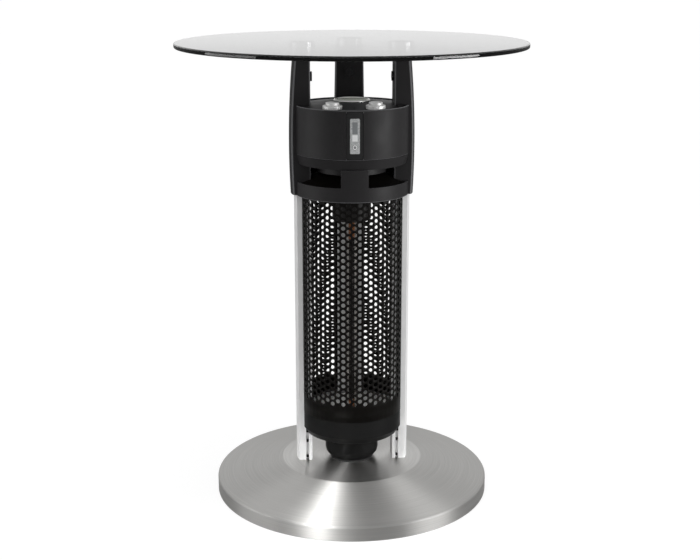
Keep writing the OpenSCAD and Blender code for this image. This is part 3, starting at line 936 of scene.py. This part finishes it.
class HEATER_OT_table_top(bpy.types.Operator):
    """Turn the round glass with its polished edge"""

    bl_idname = "heater.table_top"
    bl_label = "Table top"

    def execute(self, context):
        top = settings("table_top")
        low, high = span("glass_top")
        r = high.x
        bm = turned([(0, low.z), (r, low.z), (r, high.z), (0, high.z)], 256)
        soften(bm, ring_edges(bm, r, low.z) + ring_edges(bm, r, high.z), top.arris)
        piece(
            "table_glass", bm, "smoked_float_glass", stands_for=["glass_top"]
        )
        return {"FINISHED"}


class HEATER_OT_arms(bpy.types.Operator):
    """Shape the three bowed arms with their soft edges and the head's seam"""

    bl_idname = "heater.arms"
    bl_label = "Arms"

    def execute(self, context):
        arms = settings("arms")
        for side, turn in POST_TURNS.items():
            bm = self.arm(arms)
            bmesh.ops.rotate(bm, verts=bm.verts, matrix=Matrix.Rotation(turn, 3, "Z"))
            piece(
                "bowed_arm_" + side, bm, "moulded_abs",
                stands_for=["arm_" + side],
            )
        return {"FINISHED"}

    def arm(self, arms):
        """One arm along +X: bowed and rounded outside, flat inside."""
        low, high = span("arm_right")
        bm = new_shape()
        bmesh.ops.create_grid(bm, x_segments=16, y_segments=60, size=0.5)
        for v in bm.verts:
            across, up = v.co.x * 2 * high.y, low.z + (v.co.y + 0.5) * (high.z - low.z)
            reach = arms.roundness - (up - arms.bulge_z) ** 2 / (2 * arms.bow)
            out = high.x - arms.roundness + math.sqrt(reach**2 - across**2)
            v.co = (out, across, up)
        for v in extruded(bm, bm.faces[:]):
            v.co.x = low.x
        narrowing = span("drum_shell")[1].z
        for v in bm.verts:
            if v.co.z > narrowing:
                share = (v.co.z - narrowing) / (high.z - narrowing)
                v.co.y *= 1 - share * arms.taper / high.y
        bmesh.ops.recalc_face_normals(bm, faces=bm.faces)
        ends = (low.z, high.z)
        long_edges = [
            e
            for e in sharp_edges(bm, math.radians(40))
            if abs(e.verts[0].co.z - e.verts[1].co.z) > 1 * MM
        ]
        soften(bm, long_edges, arms.edge)
        round_ends = [
            e
            for e in sharp_edges(bm, math.radians(60))
            if any(all(abs(v.co.z - z) < 0.01 * MM for v in e.verts) for z in ends)
        ]
        soften(bm, round_ends, arms.end_edge, 2)
        deep = extruded(bm, level_faces(bm, low.z))
        bmesh.ops.translate(bm, verts=deep, vec=(0, 0, arms.pocket))
        self.score_seam(bm, arms)
        return bm

    def score_seam(self, bm, arms):
        """Press the line in which the head's two halves meet into the arm's skin."""
        seam = span("drum_shell")[0].z
        half = arms.seam_width / 2
        for level in (seam - half, seam + half):
            score_plane(bm, (0, 0, level), Z_AXIS)
        strip = [f for f in bm.faces if abs(f.calc_center_median().z - seam) < half]
        bmesh.ops.inset_region(
            bm, faces=strip, thickness=0.1 * MM, depth=-arms.seam_depth, use_even_offset=True
        )


class HEATER_OT_head(bpy.types.Operator):
    """Turn the drum and the vented collar, and cut them for arms, window and vents"""

    bl_idname = "heater.head"
    bl_label = "Head"

    def execute(self, context):
        head = settings("head")
        self.drum(head)
        self.collar(head)
        return {"FINISHED"}

    def drum(self, head):
        """The drum's wall in three sectors, the front one with the window's opening."""
        low, high = span("drum_shell")
        r, inner = -low.y, -low.y - head.wall
        bm = turned(
            [
                (head.flange, low.z),
                (r, low.z),
                (r, high.z),
                (inner, high.z),
                (inner, low.z + head.wall),
                (head.flange, low.z + head.wall),
            ],
            160,
        )
        soften(bm, ring_edges(bm, r, high.z) + ring_edges(bm, inner, high.z), head.rim_edge)
        soften(bm, ring_edges(bm, r, low.z), head.rim_edge / 2, 2)
        sectors = between_arms(bm, span("arm_right")[1].y + head.gap)
        self.open_window(sectors[0], head)
        piece(
            "drum", merged(*sectors), "moulded_abs",
            stands_for=["drum_shell"],
        )

    def open_window(self, bm, head):
        """Cut the opening for the window's surround through the front wall."""
        low, high = span("window_bezel")
        left, right = low.x - head.gap, high.x + head.gap
        bottom, top = low.z - head.gap, high.z + head.gap
        for x in (left, right):
            score_plane(bm, (x, 0, 0), (1, 0, 0))
        for z in (bottom, top):
            score_plane(bm, (0, 0, z), Z_AXIS)
        opening = []
        for f in bm.faces:
            middle = f.calc_center_median()
            inside = left < middle.x < right and bottom < middle.z < top
            if inside and abs(f.normal.z) < 0.5:
                opening.append(f)
        bmesh.ops.delete(bm, geom=opening, context="FACES")
        made = bmesh.ops.bridge_loops(bm, edges=[e for e in bm.edges if e.is_boundary])
        corners = {
            e
            for f in made["faces"]
            for e in f.edges
            if e.calc_face_angle(0.0) > math.radians(60)
            and abs(e.verts[0].co.y - e.verts[1].co.y) > head.wall / 2
        }
        soften(bm, list(corners), head.window_corner, 5)
        bmesh.ops.recalc_face_normals(bm, faces=bm.faces)

    def collar(self, head):
        """The collar under the vents, with a tab in front and a plain wall at the back."""
        low, high = span("vent_collar")
        r, inner = -low.y, -low.y - head.wall
        top = head.collar_top
        bm = turned(
            [
                (head.flange, low.z),
                (r, low.z),
                (r, top),
                (inner, top),
                (inner, low.z + head.wall),
                (head.flange, low.z + head.wall),
            ],
            160,
        )
        soften(bm, ring_edges(bm, r, low.z), head.rim_edge)
        sectors = between_arms(bm, span("arm_right")[1].y + head.gap)
        front = sectors[0]
        for x in (-head.tab_half, head.tab_half):
            score_plane(front, (x, 0, 0), (1, 0, 0))
        for sector in sectors:
            raised = [
                f
                for f in level_faces(sector, top)
                if sector is not front or abs(f.calc_center_median().x) < head.tab_half
            ]
            upper = extruded(sector, raised)
            bmesh.ops.translate(sector, verts=upper, vec=(0, 0, high.z - top))
            edges = [
                e
                for e in sharp_edges(sector, math.radians(60))
                if min(v.co.z for v in e.verts) > top - 0.1 * MM
            ]
            soften(sector, edges, head.rim_edge, 2)
        piece(
            "vented_collar", merged(*sectors), "moulded_abs",
            stands_for=["vent_collar"],
        )


class HEATER_OT_controls(bpy.types.Operator):
    """Turn the two fluted knobs and the ringed speaker grille"""

    bl_idname = "heater.controls"
    bl_label = "Controls"

    def execute(self, context):
        controls = settings("controls")
        for name in ("heat_knob", "volume_knob"):
            piece(
                "fluted_" + name, self.knob(controls, name), "matt_chrome_plate",
                body=name, stands_for=[name],
            )
        piece(
            "ringed_grille", self.grille(controls), "lacquered_grille",
            stands_for=["speaker_grille"],
        )
        return {"FINISHED"}

    def knob(self, controls, name):
        """A two-tier knob with fluted sides and a pointer groove."""
        low, high = span(name)
        r, grip = (high.x - low.x) / 2, controls.grip / 2
        step = low.z + controls.skirt_height
        bm = turned([(0, low.z), (r, low.z), (r, step), (grip, step), (grip, high.z), (0, high.z)], 72)
        soften(bm, ring_edges(bm, r, step) + ring_edges(bm, grip, high.z), controls.edge)
        width = controls.pointer / 2
        for x in (-width, width):
            score_plane(bm, (x, 0, 0), (1, 0, 0))
        groove = [
            f
            for f in level_faces(bm, high.z)
            if abs(f.calc_center_median().x) < width and f.calc_center_median().y < -0.1 * grip
        ]
        bmesh.ops.inset_region(bm, faces=groove, thickness=0.1 * MM, depth=-controls.pointer / 2)
        flutes = []
        for f in bm.faces:
            middle = f.calc_center_median()
            turn = math.degrees(math.atan2(middle.y, middle.x)) % 10
            if abs(f.normal.z) < 0.1 and abs(middle.x) > width and turn < 5:
                flutes.append(f)
        bmesh.ops.inset_individual(bm, faces=flutes, thickness=0.15 * MM, depth=-controls.flute)
        middle = (low + high) / 2
        bmesh.ops.translate(bm, verts=bm.verts, vec=(middle.x, middle.y, 0))
        return bm

    def grille(self, controls):
        """A shallow dome with concentric channels."""
        low, high = span("speaker_grille")
        rings = round(high.x / controls.louvre * 2)
        radii = [high.x * i / rings for i in range(rings + 1)]
        rise = high.z - low.z - 1.0 * MM
        skin = [(r, high.z - rise * (r / high.x) ** 2) for r in radii]
        under = [(high.x, low.z), (0, high.z - 1.0 * MM)]
        bm = turned(skin + under, 96)
        channels = []
        for f in bm.faces:
            middle = f.calc_center_median()
            if f.normal.z > 0.9 and int(middle.xy.length / high.x * rings) % 2:
                channels.append(f)
        bmesh.ops.inset_region(
            bm, faces=channels, thickness=0.3 * MM, depth=-controls.louvre_depth
        )
        return bm


class HEATER_OT_base(bpy.types.Operator):
    """Spin the steel cover of the base with its crease and rounded shoulder"""

    bl_idname = "heater.base"
    bl_label = "Base"

    def execute(self, context):
        base = settings("base")
        low, high = span("base_cover")
        r, flat = high.x, base.plateau_r
        bm = turned(
            [
                (0, high.z),
                (flat, high.z),
                (r, base.rim_z),
                (r, low.z),
                (r - base.sheet, low.z),
                (r - base.sheet, base.rim_z - base.sheet),
                (flat, high.z - base.sheet),
                (0, high.z - base.sheet),
            ],
            256,
        )
        soften(bm, ring_edges(bm, flat, high.z), base.crease)
        soften(bm, ring_edges(bm, r, base.rim_z), base.shoulder, 5)
        piece(
            "spun_cover", bm, "ring_brushed_stainless",
            stands_for=["base_cover"],
        )
        return {"FINISHED"}


class HEATER_OT_guard(bpy.types.Operator):
    """Perforate the guard's three panels"""

    bl_idname = "heater.guard"
    bl_label = "Guard"

    def execute(self, context):
        guard = settings("guard")
        low, high = span("mesh_front")
        radius = -low.y
        post_low, post_high = span("post_right")
        side = post_high.y + 0.2 * MM
        for name, middle, quarters in (
            ("mesh_front", -math.pi / 2, 2),
            ("mesh_back_left", math.pi * 0.75, 1),
            ("mesh_back_right", math.pi / 4, 1),
        ):
            edge = quarters * math.pi / 4 - math.asin(side / radius)
            bm = self.panel(guard, radius, low.z, high.z, edge)
            self.fold_edges(bm, radius, edge, side, post_low.x)
            bmesh.ops.rotate(bm, verts=bm.verts, matrix=Matrix.Rotation(middle, 3, "Z"))
            made = piece(
                name.replace("mesh", "guard"), bm, "heatproof_enamel",
                stands_for=[name],
            )
            wall = made.modifiers.new("sheet", "SOLIDIFY")
            wall.thickness = guard.sheet
            wall.offset = -1.0
        return {"FINISHED"}

    def panel(self, guard, radius, low, high, edge):
        """A curved perforated sheet about +X that ends at the angle edge to each side."""
        step = 2 * math.asin(guard.pitch * math.sqrt(3) / 4 / radius)
        columns = 2 * int((edge - step / 2) / step) + 1
        width = 2 * radius * math.tan(step / 2)
        rows = int((high - low - guard.plain_band) / guard.pitch - 0.5)
        start = high - (rows + 0.5) * guard.pitch
        whole = bmesh.new()
        outer = (columns - 1) // 2
        for shifted in (0, 1):
            column = self.column(guard, width, rows, start, shifted)
            bmesh.ops.translate(column, verts=column.verts, vec=(radius, 0, 0))
            first = -outer + (outer % 2 != shifted)
            count = len(range(first, outer + 1, 2))
            bmesh.ops.rotate(
                column, verts=column.verts, matrix=Matrix.Rotation(first * step, 3, "Z")
            )
            bmesh.ops.spin(
                column,
                geom=column.verts[:] + column.edges[:] + column.faces[:],
                cent=ORIGIN,
                axis=Z_AXIS,
                dvec=ORIGIN,
                angle=2 * step * (count - 1),
                steps=count - 1,
                use_merge=False,
                use_duplicate=True,
            )
            whole = merged(whole, column)
        bmesh.ops.remove_doubles(whole, verts=whole.verts, dist=0.05 * MM)
        self.lengthen(whole, low, high)
        return whole

    def column(self, guard, width, rows, start, shifted):
        """One column of holes; a shifted one starts and ends half a pitch higher."""
        bm = bmesh.new()
        base = start + shifted * guard.pitch / 2
        for row in range(rows):
            tile = self.tile(guard, width)
            bmesh.ops.translate(
                tile, verts=tile.verts, vec=(0, 0, base + (row + 0.5) * guard.pitch)
            )
            bm = merged(bm, tile)
        blank = bmesh.new()
        bmesh.ops.create_grid(blank, x_segments=4, y_segments=2, size=0.5)
        bmesh.ops.scale(blank, verts=blank.verts, vec=(width, guard.pitch / 2, 1))
        self.stand_up(blank)
        level = start + guard.pitch / 4 if shifted else start + (rows + 0.25) * guard.pitch
        bmesh.ops.translate(blank, verts=blank.verts, vec=(0, 0, level))
        bm = merged(bm, blank)
        bmesh.ops.remove_doubles(bm, verts=bm.verts, dist=0.01 * MM)
        return bm

    def tile(self, guard, width):
        """One hole in its rectangle of sheet, standing in the Y-Z plane."""
        bm = bmesh.new()
        bmesh.ops.create_grid(bm, x_segments=4, y_segments=4, size=0.5)
        bmesh.ops.scale(bm, verts=bm.verts, vec=(width, guard.pitch, 1))
        bmesh.ops.delete(bm, geom=bm.faces[:], context="FACES_ONLY")
        inner = [
            v
            for v in bm.verts
            if abs(v.co.x) < width * 0.45 and abs(v.co.y) < guard.pitch * 0.45
        ]
        bmesh.ops.delete(bm, geom=inner, context="VERTS")
        bmesh.ops.create_circle(bm, segments=16, radius=guard.hole_d / 2)
        bmesh.ops.bridge_loops(bm, edges=bm.edges[:])
        self.stand_up(bm)
        return bm

    def stand_up(self, bm):
        """Turn a tile from the X-Y plane into the Y-Z plane, facing +X."""
        turn = Matrix(((0, 0, 1), (1, 0, 0), (0, 1, 0)))
        bmesh.ops.transform(bm, matrix=turn.to_4x4(), verts=bm.verts)

    def lengthen(self, bm, low, high):
        """Run the undrilled bands out to the sheet's lower and upper edges."""
        levels = [v.co.z for v in bm.verts]
        for level, end in ((min(levels), low), (max(levels), high)):
            if abs(level - end) < 0.05 * MM:
                continue
            rim = [
                e
                for e in bm.edges
                if e.is_boundary and all(abs(v.co.z - level) < 0.01 * MM for v in e.verts)
            ]
            made = bmesh.ops.extrude_edge_only(bm, edges=rim)
            for v in made["geom"]:
                if isinstance(v, bmesh.types.BMVert):
                    v.co.z = end

    def fold_edges(self, bm, radius, edge, side, inner_radius):
        """Carry each side round to its post and fold it into the slot."""
        for way in (-1, 1):
            rim = [
                e
                for e in bm.edges
                if e.is_boundary
                and way * e.verts[0].co.y > 0
                and abs(e.verts[0].co.z - e.verts[1].co.z) > 0.1 * MM
                and self.at_side(e, way)
            ]
            for angle, reach in ((edge, radius), (None, inner_radius + 10 * MM)):
                made = bmesh.ops.extrude_edge_only(bm, edges=rim)
                rim = [g for g in made["geom"] if isinstance(g, bmesh.types.BMEdge)]
                rim = [e for e in rim if e.is_boundary]
                for v in {v for e in rim for v in e.verts}:
                    if angle is not None:
                        v.co.x = reach * math.cos(angle)
                        v.co.y = way * reach * math.sin(angle)
                    else:
                        # straight towards the post's slot, square to the post's side
                        along = Vector(v.co.xy).normalized()
                        v.co.x -= (radius - reach) * along.x
                        v.co.y -= (radius - reach) * along.y
        bmesh.ops.recalc_face_normals(bm, faces=bm.faces)
        if sum((f.normal.xy.dot(f.calc_center_median().xy) for f in bm.faces)) < 0:
            bmesh.ops.reverse_faces(bm, faces=bm.faces)

    def at_side(self, edge, way):
        """Is the edge on the panel's outermost column."""
        angles = [math.atan2(v.co.y, v.co.x) * way for v in edge.verts]
        return abs(angles[0] - angles[1]) < 1e-4


STEPS = (
    HEATER_OT_stage,
    HEATER_OT_finishes,
    HEATER_OT_table_top,
    HEATER_OT_arms,
    HEATER_OT_head,
    HEATER_OT_controls,
    HEATER_OT_guard,
    HEATER_OT_base,
)
GROUPS = {
    "stage": StageSettings,
    "table_top": TableTopSettings,
    "arms": ArmSettings,
    "head": HeadSettings,
    "controls": ControlSettings,
    "guard": GuardSettings,
    "base": BaseSettings,
    "finish": FinishSettings,
}


class HEATER_PT_panel(bpy.types.Panel):
    """Buttons and settings of the heated table"""

    bl_idname = "HEATER_PT_panel"
    bl_label = "Heated Table"
    bl_space_type = "VIEW_3D"
    bl_region_type = "UI"
    bl_category = "Heated Table"

    def draw(self, context):
        for step in STEPS:
            self.layout.operator(step.bl_idname)
        for name, group in GROUPS.items():
            box = self.layout.box()
            box.label(text=name.replace("_", " ").capitalize())
            for prop in group.__annotations__:
                box.prop(settings(name), prop)


def register():
    for cls in (*GROUPS.values(), *STEPS, HEATER_PT_panel):
        bpy.utils.register_class(cls)
    for name, group in GROUPS.items():
        setattr(bpy.types.Scene, "heated_table_" + name, PointerProperty(type=group))


def unregister():
    for name in GROUPS:
        delattr(bpy.types.Scene, "heated_table_" + name)
    for cls in reversed((*GROUPS.values(), *STEPS, HEATER_PT_panel)):
        bpy.utils.unregister_class(cls)


def main():
    """Register the add-on and build everything in order."""
    register()
    for step in STEPS:
        group, name = step.bl_idname.split(".")
        getattr(getattr(bpy.ops, group), name)()


if __name__ == "__main__":
    main()
